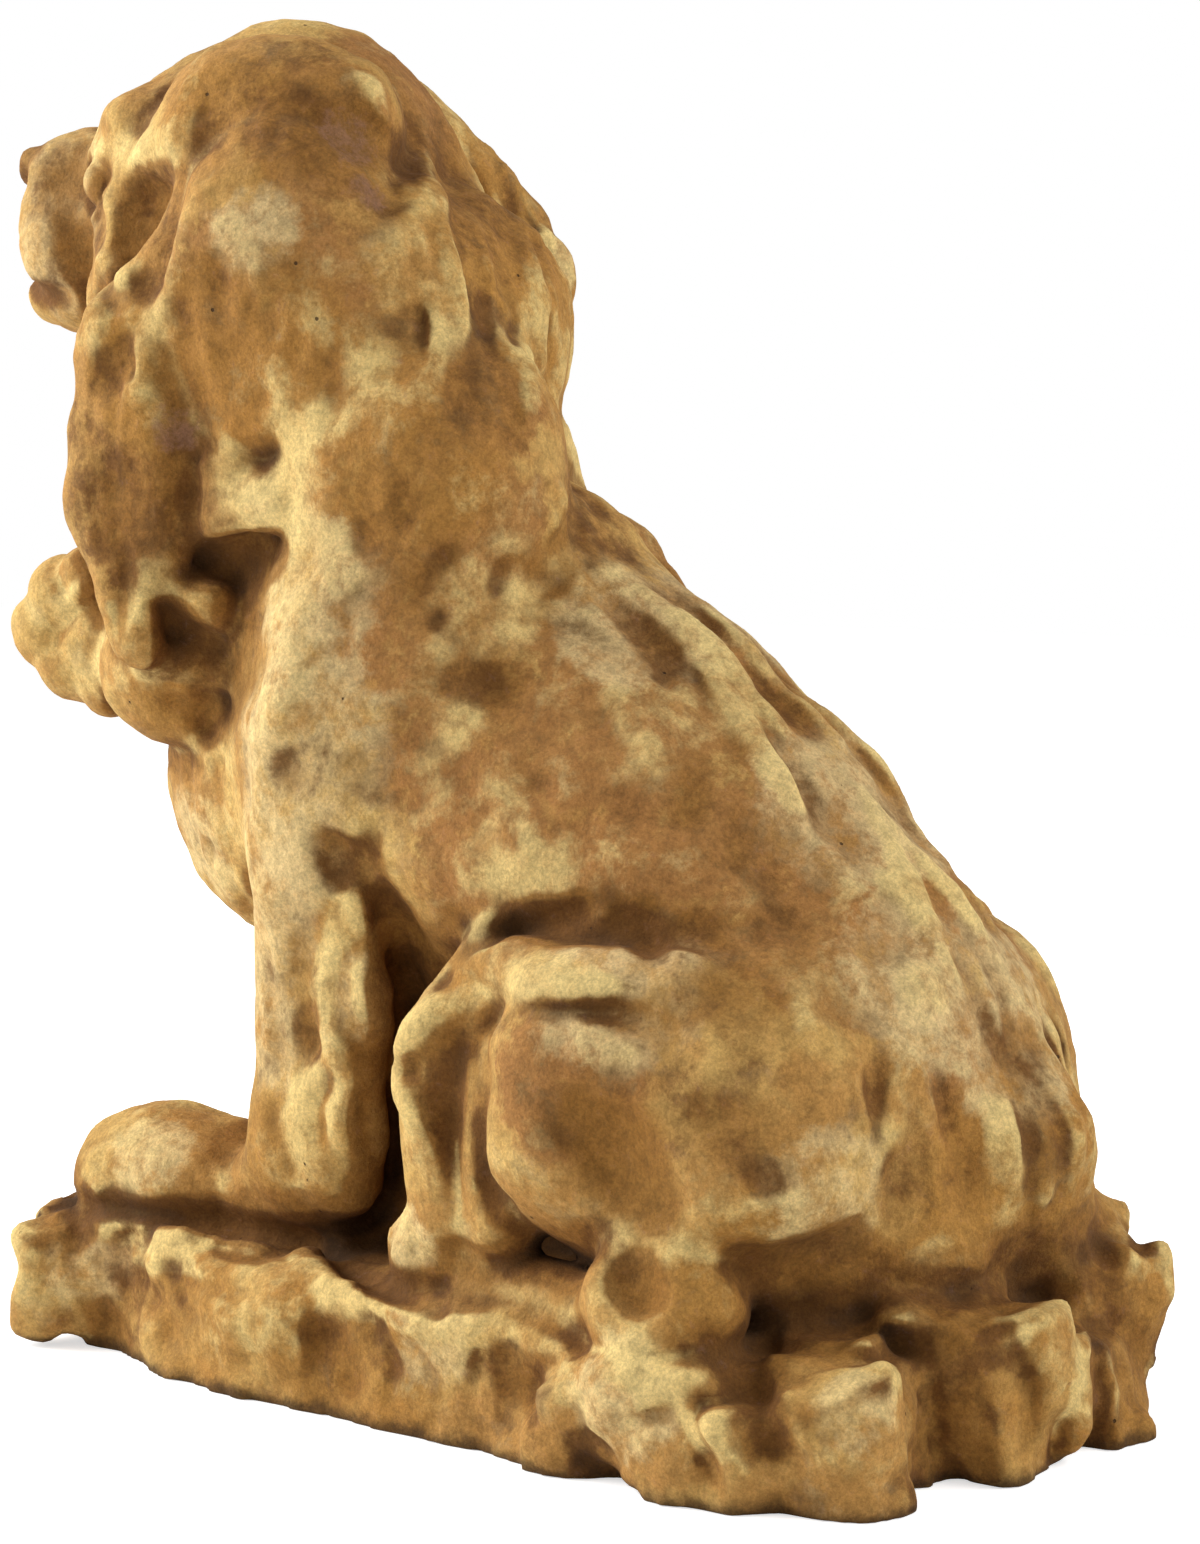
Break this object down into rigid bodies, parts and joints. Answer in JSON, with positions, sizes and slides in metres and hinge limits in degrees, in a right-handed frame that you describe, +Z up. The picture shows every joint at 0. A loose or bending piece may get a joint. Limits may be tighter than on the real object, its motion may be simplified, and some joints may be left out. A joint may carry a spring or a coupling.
{
  "type": "concrete dog statue",
  "caption": "Garden statue of a sitting spaniel with long ears, a collar and a bow, cast in one with a low rock base and stiffened by steel rods.",
  "frame": {"origin": "on the flat underside, below the middle of the dog", "axes": "+Z up, the dog faces -Y, its left side is +X"},
  "size_m": [0.2182, 0.3766, 0.4019],
  "materials": {
    "concrete": "weathered ochre concrete, rough, stained brown in its hollows",
    "galvanised_steel": "dull zinc"
  },
  "bodies": {
    "root": {"statue_casting": "concrete", "neck_rod": "galvanised_steel", "back_rod": "galvanised_steel", "left_foreleg_rod": "galvanised_steel", "right_foreleg_rod": "galvanised_steel"}
  },
  "joints": []
}
